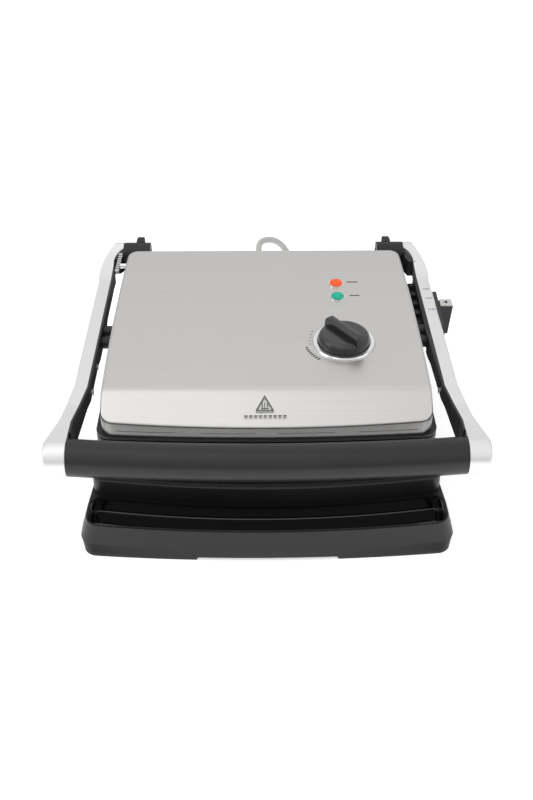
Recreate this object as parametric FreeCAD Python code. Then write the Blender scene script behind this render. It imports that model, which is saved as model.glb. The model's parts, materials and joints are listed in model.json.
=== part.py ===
"""Contact grill with a floating upper plate, built up from separate solids.

Millimetres, +Z up. The front faces -Y, the right-hand side is +X. The origin is on the
surface that the grill stands on, under the middle of the grill. It is shown closed.
"""

import FreeCAD, Part
import math
import os

V = FreeCAD.Vector

# Overall size
HALF_WIDTH = 187.5            # outer ends of the arms, at the handle
HALF_DEPTH = 184.0            # front of the base, tips of the rear standing feet
LID_TOP = 111.5

# Base
PAN_BOTTOM = 3.0
PAN_TOP = 10.5
PAN_FLOOR = 2.5
SKIRT_TOP = 31.0
BODY_TOP = 50.0
SHELF_TOP = 40.0
BODY_HALF_WIDTH = 153.5
SKIRT_HALF_WIDTH = 163.0
RIM_HALF_WIDTH = 157.0
BODY_FRONT = -131.5           # at the corners of the body
BODY_BOW = 13.0               # how far its front bulges beyond them
BODY_REAR = 150.0
BASE_REAR = 176.0
SKIRT_CORNER_Y = -171.5
FOOT_HALF_WIDTH = 160.5
FOOT_CORNER_Y = -176.0
CORNER_ROUND = 12.0
WALL = 3.0
SCREW_PLACES = [(x, y) for y in (-105.0, 0.0, 120.0) for x in (-140.0, 140.0)]

# Terminal block on the pan's floor
TERMINAL_XS = (-14, 0, 14)
TERMINAL_Y = 144
TERMINAL_TOP = 20
WELL_BOTTOM = 12

# Drip tray and its trough in the front of the base
TROUGH_BACK = -134.5          # at its ends; it follows the front of the body
TROUGH_HALF = 154.8
TROUGH_FRONT = -179.2
TROUGH_CORNER_Y = -168.4
TROUGH_FLOOR = 14.0
TRAY_HEIGHT = 15.6
TRAY_WALL = 1.5
TRAY_GAP = 0.3
TRAY_SEAT = 0.4

# Arms, handle and hinge
HINGE_Y = 168.5
HINGE_Z = 100.5
HINGE_RADIUS = 11.0
PIN_RADIUS = 5.0
PIN_END = 155.0
RUNNING_GAP = 0.05
TOWER_INNER = 119.5
TOWER_OUTER = 147.0
ARM_REAR_INNER = 147.8
ARM_TOP = 100.0
ARM_BOTTOM = 81.0                     # under the lid's pivot
ARM_MIDDLE_BOTTOM = 84.0
ARM_THIN_BOTTOM = 86.5
ARM_FRONT_LOW = 74.5
ARM_EDGE_RADIUS = 1.8
GRIP_RADIUS = 16.0
GRIP_END_Y = -148.2
GRIP_MIDDLE_Y = -156.3
GRIP_Z = 88.3
SOCKET_INNER = 168.0
CORE_RADIUS = 8.0
LINER_THICK = 2.0
LINER_SCREW_YS = (-58.0, -20.0)
LINER_SCREW_Z = 88.0
LINER_REAR_LEFT = 134.0
LINER_REAR_RIGHT = 12.0
CHEEK_FRONT_RIGHT = 143.5
CHEEK_FRONT_LEFT = 150.0
STRIP_PITCH = 3.2
STRIP_GROOVES = 7

# Lid
LID_REAR = 155.0
LID_REAR_HALF = 141.0
LID_MIDDLE_HALF = 145.0
LID_FRONT_HALF = 144.5
LID_CORNER_Y = -111.5
LID_FRONT = -117.0
LID_BEND_Y = -85.2
LID_CORNER_ROUND = 11.0
BEND_RADIUS = 14.0
EDGE_RADIUS = 2.8
LID_EDGE = 81.8
SLOPE = 17.4 / 31.1
SHEET = 1.0
RIM_BOTTOM = 60.0
LEDGE_TOP = 68.0               # of the ledge inside the rim that holds the plate
RIM_REAR = 156.8
RIM_REAR_HALF = 142.8
RIM_MIDDLE_HALF = 147.0
RIM_FRONT_HALF = 149.6
RIM_CORNER_Y = -113.5
RIM_FRONT = -119.2
GROOVE_BOTTOM = 78.0
GROOVE_TOP = 79.4
VENTS = [(-131.0, -79.0), (-59.0, -9.0), (9.0, 59.0), (79.0, 131.0)]
VENT_BOTTOM = 86.8
VENT_TOP = 87.7
VENT_DEPTH = 0.6
LID_ROD_Y = 141.0
LID_ROD_Z = 101.0
LID_ROD_RADIUS = 2.7
LID_SCREW_PLACES = [(-124.0, -86.0), (124.0, -86.0), (-124.0, 124.0), (124.0, 124.0)]
PIVOT_Y = 20.0
PIVOT_Z = 88.0
PIVOT_RADIUS = 3.0
BOSS_RADIUS = 5.7
BOSS_INNER = 147.6
STOP_Y = 36.2
STOP_Z = 89.8

# Grill plates
PLATE_HALF = 134.0
PLATE_REAR = 138.0
UPPER_PLATE_FRONT = -100.0
LOWER_PLATE_FRONT = -119.0
LOWER_RIB_TOP = 54.8
UPPER_RIB_BOTTOM = 55.6
RIB_HEIGHT = 2.8
RIB_COUNT = 13
RIB_PITCH = 19.0
RIB_WIDTH = 8.0
PLATE_THICK = 6.0
ELEMENT_RADIUS = 3.5

# Controls
KNOB_X = 72.3
KNOB_Y = -15.0
KNOB_RADIUS = 24.5
KNOB_EDGE_RADIUS = 23.0       # of the disc at its shoulder
KNOB_SHOULDER = 10.5
KNOB_TOP = 130.0
BEZEL_RADIUS = 29.2
FIN_ANGLE = -53.0
FIN_WIDTH = 9.0
THERMOSTAT_RADIUS = 16.0
THERMOSTAT_BOTTOM = 90.0
LAMP_X = 71.4
RED_Y = 87.2
GREEN_Y = 62.8
LENS_RADIUS = 6.6
LENS_BEZEL_RADIUS = 7.5
LENS_HEIGHT = 4.6

# Height clip on the right-hand arm
CLIP_Y = 73.0
CLIP_TRAVEL = 18.0
CLIP_TOP = 97.0
CLIP_BOTTOM = 64.5
CLIP_DEPTH = 11.6
CLIP_TOE = 185.2              # outer face at its lower end
GUIDE_OUTER = 174.4
GUIDE_FRONT = 29.0
GUIDE_REAR = 98.5
GUIDE_BOTTOM = 80.0
RACK_FRONT = 44.0
RACK_REAR = 128.0
RACK_BOTTOM = 76.0
RACK_TOP = 86.0
RACK_PLATE_INNER = 155.0
TOOTH_HEIGHT = 4.0
TOOTH_PITCH = 17.0
TOOTH_COUNT = 4
SLOT_BOTTOM = 86.0
SLOT_TOP = 92.0
FOOT_LENGTH = 8.0

# Mains lead
CORD_RADIUS = 3.75
GLAND_Z = 14.0
GLAND_END = 200.0
CORD_ROUTE = [
    (0.0, 200.0, 14.0),
    (0.6, 221.0, 12.4),
    (-0.6, 246.0, 4.6),
    (-3.0, 289.0, 3.9),
    (-4.6, 332.0, 3.9),
    (-3.6, 358.0, 3.9),
    (5.2, 366.5, 3.9),
    (17.0, 365.4, 3.9),
    (28.0, 347.0, 3.9),
    (35.0, 316.0, 3.9),
    (39.0, 287.0, 3.9),
    (40.0, 262.0, 3.9),
]
COIL_X = 85.0
COIL_Y = 260.0
COIL_INNER = 33.5
COIL_OUTER = 49.0
COIL_HEIGHT = 15.0
TIE_WIDTH = 7.0
TIE_THICK = 1.2
TAIL_ROUTE = [
    (82.0, 215.2, 11.2),
    (96.0, 213.6, 11.4),
    (109.0, 211.4, 12.9),
    (121.0, 208.8, 14.0),
]
PLUG_ANGLE = -12.0
PLUG_AXIS_Z = 14.0
PLUG_RADIUS = 17.0


def box(x0, x1, y0, y1, z0, z1):
    return Part.makeBox(x1 - x0, y1 - y0, z1 - z0, V(x0, y0, z0))


def rod(start, end, radius):
    axis = V(*end) - V(*start)
    return Part.makeCylinder(radius, axis.Length, V(*start), axis)


def cone(start, end, start_radius, end_radius):
    axis = V(*end) - V(*start)
    return Part.makeCone(start_radius, end_radius, axis.Length, V(*start), axis)


def outline(points, place):
    """A closed wire through flat points; one of four numbers is an arc by its first pair."""
    edges = []
    here = place(*points[0][-2:])
    for point in points[1:] + points[:1]:
        end = place(*point[-2:])
        if len(point) == 4:
            edges.append(Part.Arc(here, place(*point[:2]), end).toShape())
        else:
            edges.append(Part.LineSegment(here, end).toShape())
        here = end
    return Part.Wire(edges)


def prism_z(points, z0, z1):
    wire = outline(points, lambda x, y: V(x, y, z0))
    return Part.Face(wire).extrude(V(0, 0, z1 - z0))


def prism_x(points, x0, x1):
    wire = outline(points, lambda y, z: V(x0, y, z))
    return Part.Face(wire).extrude(V(x1 - x0, 0, 0))


def prism_y(points, y0, y1):
    wire = outline(points, lambda x, z: V(x, y0, z))
    return Part.Face(wire).extrude(V(0, y1 - y0, 0))


def upright(edge):
    box_of = edge.BoundBox
    return box_of.XLength < 0.01 and box_of.YLength < 0.01


def round_upright(solid, radius):
    return solid.makeFillet(radius, [edge for edge in solid.Edges if upright(edge)])


def round_level(solid, radius, z):
    """Rounds the edges that lie flat at one height."""
    level = [e for e in solid.Edges if abs(e.BoundBox.ZMin - z) < 0.01 and e.BoundBox.ZLength < 0.01]
    return solid.makeFillet(radius, level)


def mirrored(shape):
    return shape.mirror(V(0, 0, 0), V(1, 0, 0))


def sided(shape, side):
    """The shape as drawn for the right (side 1), or mirrored for the left (side -1)."""
    return shape if side > 0 else mirrored(shape)


def joined(shapes):
    return shapes[0].fuse(shapes[1:]).removeSplitter()


def group(shapes):
    return Part.makeCompound(shapes)


def bend_radius(before, corner, after):
    """Radius of a corner's arc: as large as 0.45 of its shorter run allows."""
    run_in = V(*corner) - V(*before)
    run_out = V(*after) - V(*corner)
    shorter = min(run_in.Length, run_out.Length)
    return 0.45 * shorter / math.tan(run_in.getAngle(run_out) / 2)


def tube(route, radius, radii=None):
    """Round bar along straight runs joined by tangent arcs."""
    edges = []
    here = V(*route[0])
    for index in range(1, len(route) - 1):
        corner = V(*route[index])
        run_in = corner - V(*route[index - 1])
        run_out = V(*route[index + 1]) - corner
        bend = radii or bend_radius(*route[index - 1:index + 2])
        half = run_in.getAngle(run_out) / 2
        reach = bend * math.tan(half)
        start = corner - run_in.normalize() * reach
        end = corner + run_out.normalize() * reach
        inward = (start + end) * 0.5 - corner
        middle = corner + inward.normalize() * (bend / math.cos(half) - bend)
        edges.append(Part.LineSegment(here, start).toShape())
        edges.append(Part.Arc(start, middle, end).toShape())
        here = end
    edges.append(Part.LineSegment(here, V(*route[-1])).toShape())
    path = Part.Wire(edges)
    profile = Part.Wire(Part.makeCircle(radius, V(*route[0]), V(*route[1]) - V(*route[0])))
    return path.makePipeShell([profile], True, False)


# ---------------------------------------------------------------- base


def skirt_plan(side, corner_y, front, inset):
    """Outline of the base: straight body, front part widening to a bowed front, round corners."""
    body = BODY_HALF_WIDTH - inset
    wide = side - inset
    rear = BASE_REAR - inset
    corner_y = corner_y + inset
    front = front + inset
    radius = CORNER_ROUND - inset
    cut_in = 0.29 * radius
    joint_y = front + (corner_y - front) * (1 - radius / wide) ** 2
    return [
        (-body + radius, rear),
        (-body + cut_in, rear - cut_in, -body, rear - radius),
        (-body, -108.0),
        (-wide, -146.0),
        (-wide, corner_y + radius),
        (-wide + cut_in, corner_y + cut_in - 0.5, -wide + radius, joint_y),
        (0.0, front, wide - radius, joint_y),
        (wide - cut_in, corner_y + cut_in - 0.5, wide, corner_y + radius),
        (wide, -146.0),
        (body, -108.0),
        (body, rear - radius),
        (body - cut_in, rear - cut_in, body - radius, rear),
    ]


def flared(low_plan, high_plan, z0, z1):
    """Solid between two like outlines at two heights."""
    low = outline(low_plan, lambda x, y: V(x, y, z0))
    high = outline(high_plan, lambda x, y: V(x, y, z1))
    return Part.makeLoft([low, high], True, True)


def trough_plan(inset):
    back = TROUGH_BACK - inset
    half = TROUGH_HALF - inset
    return [
        (0.0, back - BODY_BOW, -half, back),
        (-half, TROUGH_CORNER_Y + inset),
        (0.0, TROUGH_FRONT + inset, half, TROUGH_CORNER_Y + inset),
        (half, back),
    ]


def body_plan(inset):
    half = BODY_HALF_WIDTH - inset
    front = BODY_FRONT + inset
    return [
        (-half, BODY_REAR - inset),
        (-half, front),
        (0.0, front - BODY_BOW, half, front),
        (half, BODY_REAR - inset),
    ]


def base_pan():
    low = skirt_plan(FOOT_HALF_WIDTH, FOOT_CORNER_Y, -HALF_DEPTH, 0.2)
    high = skirt_plan(SKIRT_HALF_WIDTH, SKIRT_CORNER_Y, -HALF_DEPTH, 0.3)
    pan = flared(low, high, PAN_BOTTOM, PAN_TOP)
    hollow = skirt_plan(SKIRT_HALF_WIDTH - 3.0, SKIRT_CORNER_Y + 3.0, -HALF_DEPTH + 3.0, 3.5)
    hollow = flared(hollow, hollow, PAN_BOTTOM + PAN_FLOOR, PAN_TOP + 1)
    vents = [box(-90 + 20 * n, -82 + 20 * n, -60, 60, 0, 6) for n in range(9)]
    return pan.cut([hollow] + vents).cut([base_screws(), strain_relief()])


def base_housing():
    low = skirt_plan(SKIRT_HALF_WIDTH, SKIRT_CORNER_Y, -HALF_DEPTH, 0.0)
    high = skirt_plan(RIM_HALF_WIDTH, TROUGH_CORNER_Y - 2.0, TROUGH_FRONT - 2.0, 0.0)
    skirt = flared(low, high, PAN_TOP, SKIRT_TOP)
    body = round_upright(prism_z(body_plan(0.0), SKIRT_TOP - 6, BODY_TOP), 9.0)
    body = round_level(body, 3.0, BODY_TOP)
    half = BODY_HALF_WIDTH
    shelf = box(-half, half, BODY_REAR - 20, BASE_REAR, SKIRT_TOP - 6, SHELF_TOP)
    shelf = round_upright(shelf, 8.0)
    inner = half - WALL
    bay = prism_z(body_plan(WALL), 0, BODY_TOP - WALL)
    shelf_bay = box(-inner, inner, BODY_REAR - WALL - 1, BASE_REAR - WALL, 0, SHELF_TOP - WALL)
    opening = box(-PLATE_HALF - 1, PLATE_HALF + 1, LOWER_PLATE_FRONT - 1, PLATE_REAR + 1, 40, 60)
    trough = round_upright(prism_z(trough_plan(0.0), TROUGH_FLOOR, 60), 8.0)
    trough = trough.cut(prism_z(body_plan(0.0), 0, 70))
    gland_hole = rod((0, BASE_REAR - 10, GLAND_Z), (0, BASE_REAR + 5, GLAND_Z), 7.0)
    return joined([skirt, body, shelf]).cut([bay, shelf_bay, opening, trough, gland_hole])


def front_feet():
    """Broad feet under the front corners, flush with the pan's edge."""
    plan = skirt_plan(FOOT_HALF_WIDTH, FOOT_CORNER_Y, -HALF_DEPTH, 0.4)
    slab = flared(plan, plan, 0, PAN_BOTTOM)
    keep = prism_y([(62, -1), (170, -1), (170, 5), (60, 5), (60, PAN_BOTTOM)], -190, -158)
    pad = slab.common(keep)
    return group([pad, mirrored(pad)])


def rear_feet():
    pad = round_upright(box(100, 140, 150, 166, 0, PAN_BOTTOM), 6.0)
    return group([pad, mirrored(pad)])


def base_screws():
    screws = []
    for x, y in SCREW_PLACES:
        head = rod((x, y, PAN_BOTTOM - 1.0), (x, y, PAN_BOTTOM), 3.5)
        shank = rod((x, y, PAN_BOTTOM), (x, y, PAN_BOTTOM + 14), 1.6)
        screws.append(joined([head, shank]))
    return group(screws)


def screw_posts():
    """Posts in the pan that the base screws bite into."""
    posts = [rod((x, y, PAN_BOTTOM + PAN_FLOOR), (x, y, 30), 4.5) for x, y in SCREW_PLACES]
    return group(posts).cut(base_screws())


def hinge_tower(side):
    x0, x1 = TOWER_INNER, TOWER_OUTER
    front = HINGE_Y - HINGE_RADIUS
    rear = HINGE_Y + HINGE_RADIUS
    column = prism_x([
        (front, SHELF_TOP),
        (front, HINGE_Z),
        (HINGE_Y, HINGE_Z + HINGE_RADIUS, rear, HINGE_Z),
        (BASE_REAR - 1, SHELF_TOP),
    ], x0, x1)
    flange = box(x0 - 4, x1 + 4, front, BASE_REAR - 1, SHELF_TOP, SHELF_TOP + 4)
    core = prism_x([
        (front + 3, SHELF_TOP),
        (front + 3, HINGE_Z - 16),
        (rear - 6, HINGE_Z - 16),
        (rear - 7, SHELF_TOP),
    ], x0 + 3, x1 - 3)
    bore = rod((x0 - 1, HINGE_Y, HINGE_Z), (x1 + 1, HINGE_Y, HINGE_Z), PIN_RADIUS)
    return sided(joined([column, flange]).cut([core, bore]), side)


def hinge_pin(side):
    return sided(rod((TOWER_INNER + 1, HINGE_Y, HINGE_Z), (PIN_END, HINGE_Y, HINGE_Z), PIN_RADIUS), side)


def standing_foot(side):
    """Tapered rubber foot that the grill rests on when it is stored on its end."""
    x = 130.4
    rear = HINGE_Y + HINGE_RADIUS
    foot = prism_z([
        (x - 4.4, rear - 6),
        (x + 4.4, rear - 6),
        (x + 4.4, rear),
        (x + 3.4, HALF_DEPTH),
        (x - 3.4, HALF_DEPTH),
        (x - 4.4, rear),
    ], HINGE_Z - 10, HINGE_Z + 10.4)
    return sided(foot.cut(hinge_tower(1)), side)


def ribs(bottom, top, front, rear):
    first = -RIB_PITCH * (RIB_COUNT - 1) / 2
    bars = []
    for number in range(RIB_COUNT):
        x = first + RIB_PITCH * number
        half_root = RIB_WIDTH / 2
        half_crest = half_root - 1.5
        low, high = (half_root, half_crest) if bottom < top else (half_crest, half_root)
        bars.append(prism_y([(x - low, min(bottom, top)), (x + low, min(bottom, top)),
                             (x + high, max(bottom, top)), (x - high, max(bottom, top))], front, rear))
    return bars


def element_route(z, front, rear, tail_z):
    """The heating element's loops, ending in two upright tails at the rear."""
    return [
        (-22, rear, tail_z), (-22, rear, z), (-104, rear, z), (-104, front, z), (-36, front, z),
        (-36, rear - 48, z), (36, rear - 48, z), (36, front, z), (104, front, z), (104, rear, z),
        (22, rear, z), (22, rear, tail_z),
    ]


def lower_heating_element():
    top = LOWER_RIB_TOP - RIB_HEIGHT - PLATE_THICK
    route = element_route(top - 1.0, LOWER_PLATE_FRONT + 28, PLATE_REAR - 22, 26.0)
    return tube(route, ELEMENT_RADIUS, 9.0)


def upper_heating_element():
    bottom = UPPER_RIB_BOTTOM + RIB_HEIGHT + PLATE_THICK
    route = element_route(bottom + 1.0, UPPER_PLATE_FRONT + 24, PLATE_REAR - 22, 84.0)
    return tube(route, ELEMENT_RADIUS, 9.0)


def lower_grill_plate():
    floor = LOWER_RIB_TOP - RIB_HEIGHT
    front, rear = LOWER_PLATE_FRONT, PLATE_REAR
    slab = round_upright(box(-PLATE_HALF, PLATE_HALF, front, rear, floor - PLATE_THICK, floor), 8.0)
    rim = round_upright(box(-PLATE_HALF, PLATE_HALF, front, rear, floor, LOWER_RIB_TOP), 8.0)
    inside = box(-PLATE_HALF + 6, PLATE_HALF - 6, front - 1, rear - 6, floor, 60)
    track = box(-112, 112, front + 18, rear - 14, floor - PLATE_THICK - 4, floor - PLATE_THICK)
    track_core = box(-96, 96, front + 36, rear - 30, 0, floor - PLATE_THICK)
    plate = joined([slab, rim.cut(inside)] + ribs(floor, LOWER_RIB_TOP, front + 14, rear - 14))
    return plate.fuse(track.cut(track_core)).removeSplitter().cut(lower_heating_element())


def upper_grill_plate():
    ceiling = UPPER_RIB_BOTTOM + RIB_HEIGHT
    front, rear = UPPER_PLATE_FRONT, PLATE_REAR
    slab = round_upright(box(-PLATE_HALF, PLATE_HALF, front, rear, ceiling, ceiling + PLATE_THICK), 8.0)
    bars = ribs(ceiling, UPPER_RIB_BOTTOM, front + 4, rear - 8)
    track = box(-112, 112, front + 14, rear - 14, ceiling + PLATE_THICK, ceiling + PLATE_THICK + 4)
    track_core = box(-96, 96, front + 32, rear - 30, ceiling + PLATE_THICK, 90)
    plate = joined([slab] + bars + [track.cut(track_core)])
    return plate.cut([upper_heating_element(), lid_screws()])


def heat_shield(z, flange, front, rear, tails_y):
    """Folded sheet pan behind an element, with two holes for the element's tails."""
    half = PLATE_HALF - 14
    low, high = min(z, z + flange), max(z, z + flange)
    pan = box(-half, half, front, rear, low, high)
    core = box(-half + 0.8, half - 0.8, front + 0.8, rear - 0.8, low + (0.8 if flange > 0 else 0),
               high - (0.8 if flange < 0 else 0))
    holes = [rod((x, tails_y, low - 1), (x, tails_y, high + 1), 6.0) for x in (-22, 22)]
    return pan.cut([core] + holes)


def lower_heat_shield():
    return heat_shield(30.0, 9.0, LOWER_PLATE_FRONT + 12, PLATE_REAR - 8, PLATE_REAR - 22)


def upper_heat_shield():
    return heat_shield(80.0, -9.0, UPPER_PLATE_FRONT + 8, PLATE_REAR - 8, PLATE_REAR - 22)


def terminal_block():
    y = TERMINAL_Y
    block = box(-22, 22, y - 6, y + 6, PAN_BOTTOM + PAN_FLOOR, TERMINAL_TOP)
    return block.cut([rod((x, y, WELL_BOTTOM), (x, y, TERMINAL_TOP + 1), 2.5) for x in TERMINAL_XS])


def terminal_screws():
    y = TERMINAL_Y
    return group([rod((x, y, WELL_BOTTOM), (x, y, TERMINAL_TOP - 2), 2.4) for x in TERMINAL_XS])


def thermal_fuse():
    y, z, radius = 60, 32.8, 2.0
    barrel = rod((40, y, z), (66, y, z), radius)
    clamp = box(48, 58, y - 4, y + 4, z - radius, z + radius).cut(barrel)
    return group([barrel, clamp])


def strain_relief():
    wall = BASE_REAR - WALL
    collar = rod((0, wall - 3, GLAND_Z), (0, wall, GLAND_Z), 8.5)
    neck = rod((0, wall, GLAND_Z), (0, BASE_REAR, GLAND_Z), 7.0)
    sleeve = cone((0, BASE_REAR, GLAND_Z), (0, GLAND_END, GLAND_Z), 8.2, 4.9)
    return joined([collar, neck, sleeve])


def drip_tray():
    bottom = TROUGH_FLOOR + TRAY_SEAT
    top = bottom + TRAY_HEIGHT
    shell = round_upright(prism_z(trough_plan(TRAY_GAP), bottom, top), 7.5)
    inset = TRAY_GAP + TRAY_WALL
    hollow = round_upright(prism_z(trough_plan(inset), bottom + TRAY_WALL, top + 5), 5.5)
    floor_edges = [e for e in hollow.Edges if e.BoundBox.ZMax < bottom + TRAY_WALL + 0.1]
    return shell.cut(hollow.makeFillet(2.5, floor_edges))


# ---------------------------------------------------------------- arms and handle


def arm_plan():
    return [
        (ARM_REAR_INNER, 163.0),
        (153.0, 157.5, 156.6, 143.0),
        (160.0, -66.0),
        (SOCKET_INNER, -117.0),
        (SOCKET_INNER, GRIP_END_Y),
        (HALF_WIDTH - 1.0, GRIP_END_Y),
        (177.5, -112.0),
        (172.4, -70.0),
        (169.4, 115.0),
        (164.8, 154.5, 152.0, 177.0),
        (ARM_REAR_INNER, HINGE_Y + HINGE_RADIUS),
    ]


def arm_profile():
    return [
        (HINGE_Y + HINGE_RADIUS, HINGE_Z, HINGE_Y, HINGE_Z - HINGE_RADIUS),
        (141.0, ARM_THIN_BOTTOM - 2.0),
        (120.0, ARM_THIN_BOTTOM),
        (62.0, ARM_THIN_BOTTOM),
        (48.0, ARM_BOTTOM),
        (2.0, ARM_BOTTOM),
        (-12.0, ARM_MIDDLE_BOTTOM),
        (-78.0, ARM_MIDDLE_BOTTOM),
        (-122.0, ARM_FRONT_LOW),
        (GRIP_END_Y, GRIP_Z - GRIP_RADIUS),
        (GRIP_END_Y, GRIP_Z + GRIP_RADIUS),
        (-122.0, 102.0),
        (-92.0, ARM_TOP),
        (105.0, ARM_TOP),
        (139.0, 102.4, HINGE_Y, HINGE_Z + HINGE_RADIUS),
    ]


def handle_bar(radius, half_length):
    """Round bar along the handle's shallow arc, cut square at both ends."""
    bow = GRIP_END_Y - GRIP_MIDDLE_Y
    bend = (SOCKET_INNER ** 2 + bow ** 2) / (2 * bow)
    centre = V(0, GRIP_MIDDLE_Y + bend, GRIP_Z)
    start = centre + V(-bend * math.sin(0.2), -bend * math.cos(0.2), 0)
    profile = Part.Face(Part.Wire(Part.makeCircle(radius, start, V(math.cos(0.2), -math.sin(0.2), 0))))
    bar = profile.revolve(centre, V(0, 0, 1), math.degrees(0.4))
    return bar.common(box(-half_length, half_length, -220, -100, 50, 130))


def handle_core():
    return handle_bar(CORE_RADIUS, SOCKET_INNER + 10)


def handle_grip():
    return handle_bar(GRIP_RADIUS, SOCKET_INNER - 0.2).cut(handle_core())


def clip_slot():
    reach = CLIP_TRAVEL + FOOT_LENGTH / 2 + 1.0
    return box(160, 190, CLIP_Y - reach, CLIP_Y + reach, SLOT_BOTTOM, SLOT_TOP)


def arm_beam():
    """The arm's outer form, flared at the front and curving inwards to the hinge at the rear."""
    beam = prism_z(arm_plan(), 60, 120).common(prism_x(arm_profile(), 140, 190))
    outer = [e for e in beam.Edges if e.BoundBox.YLength > 30 and e.BoundBox.XMin > 168]
    return beam.makeFillet(ARM_EDGE_RADIUS, outer)


def arm(side):
    socket = rod((SOCKET_INNER, GRIP_END_Y, GRIP_Z), (HALF_WIDTH, GRIP_END_Y, GRIP_Z), GRIP_RADIUS)
    socket = socket.makeFillet(4.0, [e for e in socket.Edges if e.BoundBox.XMin > HALF_WIDTH - 0.1])
    hinge_bore = rod((140, HINGE_Y, HINGE_Z), (PIN_END + 0.5, HINGE_Y, HINGE_Z), PIN_RADIUS + RUNNING_GAP)
    pivot_bore = rod((150, PIVOT_Y, PIVOT_Z), (165, PIVOT_Y, PIVOT_Z), PIVOT_RADIUS)
    body = arm_beam().fuse(socket).cut([hinge_bore, pivot_bore, handle_core()] + liner_screws())
    if side > 0:
        body = body.cut(clip_slot().common(box(167.0, 190, 0, 140, 60, 120)))
    return sided(body, side)


def arm_liner(side):
    """Thin black strip along the arm's inner face, as tall as the arm."""
    rear = LINER_REAR_RIGHT if side > 0 else LINER_REAR_LEFT
    strip = prism_z([
        (156.7 - LINER_THICK, rear),
        (160.0 - LINER_THICK, -66.0),
        (SOCKET_INNER - LINER_THICK, -117.0),
        (SOCKET_INNER - LINER_THICK, -133.0),
        (SOCKET_INNER, -133.0),
        (SOCKET_INNER + 4.0, -117.0),
        (165.0, -66.0),
        (163.0, rear),
    ], 60, 120)
    strip = strip.common(prism_x(arm_profile(), 140, 190))
    pin = rod((150, PIVOT_Y, PIVOT_Z), (165, PIVOT_Y, PIVOT_Z), PIVOT_RADIUS)
    return sided(strip.cut([arm_beam(), handle_bar(GRIP_RADIUS, 200), pin] + liner_screws()), side)


def hinge_cheek(side):
    """Black plastic block that fills the arm's inner curve beside the hinge."""
    front = CHEEK_FRONT_RIGHT if side > 0 else CHEEK_FRONT_LEFT
    block = prism_z([
        (ARM_REAR_INNER, 162.6),
        (148.2, 155.0, 151.5, front),
        (159.0, front),
        (159.0, 162.6),
    ], 86, HINGE_Z + 3)
    return sided(block.cut(arm_beam()), side)


def pivot_boss(side):
    outer = rod((BOSS_INNER, PIVOT_Y, PIVOT_Z), (160, PIVOT_Y, PIVOT_Z), BOSS_RADIUS)
    bore = rod((140, PIVOT_Y, PIVOT_Z), (161, PIVOT_Y, PIVOT_Z), PIVOT_RADIUS)
    return sided(outer.cut([bore, arm_beam()]), side).cut(arm_liner(side))


def pivot_pin(side):
    return sided(rod((134, PIVOT_Y, PIVOT_Z), (165, PIVOT_Y, PIVOT_Z), PIVOT_RADIUS), side)


def tilt_stop(side):
    stud = rod((BOSS_INNER, STOP_Y, STOP_Z), (160, STOP_Y, STOP_Z), BOSS_RADIUS - 0.1)
    return sided(stud.cut(arm_beam()), side).cut(arm_liner(side))


def height_rack():
    """Toothed ledge inside the right-hand arm, hung from a plate along the arm's inner face."""
    inner, outer = BOSS_INNER + 0.6, 160.0
    plate = box(RACK_PLATE_INNER, outer, LINER_REAR_RIGHT, RACK_REAR, ARM_THIN_BOTTOM - 3, CLIP_TOP)
    parts = [plate, box(inner, outer, RACK_FRONT, RACK_REAR, RACK_BOTTOM, RACK_TOP)]
    for number in range(TOOTH_COUNT):
        y = RACK_REAR - 12 - TOOTH_PITCH * number
        parts.append(box(RACK_PLATE_INNER - 4, outer, y, y + 6, RACK_TOP, RACK_TOP + TOOTH_HEIGHT))
    pin = rod((150, PIVOT_Y, PIVOT_Z), (165, PIVOT_Y, PIVOT_Z), PIVOT_RADIUS)
    return joined(parts).cut([arm_beam(), tilt_stop(1), pivot_boss(1), pin])


def clip_guide():
    """Plate on the outside of the right-hand arm with the slot that the clip runs in."""
    plate = box(168.5, GUIDE_OUTER, GUIDE_FRONT, GUIDE_REAR, GUIDE_BOTTOM, CLIP_TOP)
    plate = plate.makeFillet(5.0, [e for e in plate.Edges if e.BoundBox.XLength > 1])
    return plate.cut([clip_slot(), arm(1)])


def height_clip():
    front, rear = CLIP_Y - CLIP_DEPTH / 2, CLIP_Y + CLIP_DEPTH / 2
    face = GUIDE_OUTER + 0.4
    grip = prism_y([
        (face, CLIP_BOTTOM),
        (CLIP_TOE, CLIP_BOTTOM),
        (HALF_WIDTH, CLIP_TOP),
        (face, CLIP_TOP),
    ], front, rear)
    foot_front, foot_rear = CLIP_Y - FOOT_LENGTH / 2, CLIP_Y + FOOT_LENGTH / 2
    foot = box(168.0, face + 1, foot_front, foot_rear, SLOT_BOTTOM + 0.4, SLOT_TOP - 0.4)
    return joined([grip, foot])


def clip_cap():
    """Pale plate on top of the clip, for its printed arrow."""
    margin = 0.4
    front, rear = CLIP_Y - CLIP_DEPTH / 2 + margin, CLIP_Y + CLIP_DEPTH / 2 - margin
    inner, outer = GUIDE_OUTER + 0.4 + margin, HALF_WIDTH - margin
    return box(inner, outer, front, rear, CLIP_TOP, CLIP_TOP + 1.4)


def liner_screws():
    screws = []
    for y in LINER_SCREW_YS:
        head = rod((156.4, y, LINER_SCREW_Z), (157.8, y, LINER_SCREW_Z), 3.0)
        shank = rod((157.8, y, LINER_SCREW_Z), (164, y, LINER_SCREW_Z), 1.5)
        screws.append(joined([head, shank]))
    return screws


def all_liner_screws():
    screws = liner_screws()
    return group(screws + [mirrored(screw) for screw in screws])


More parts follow.
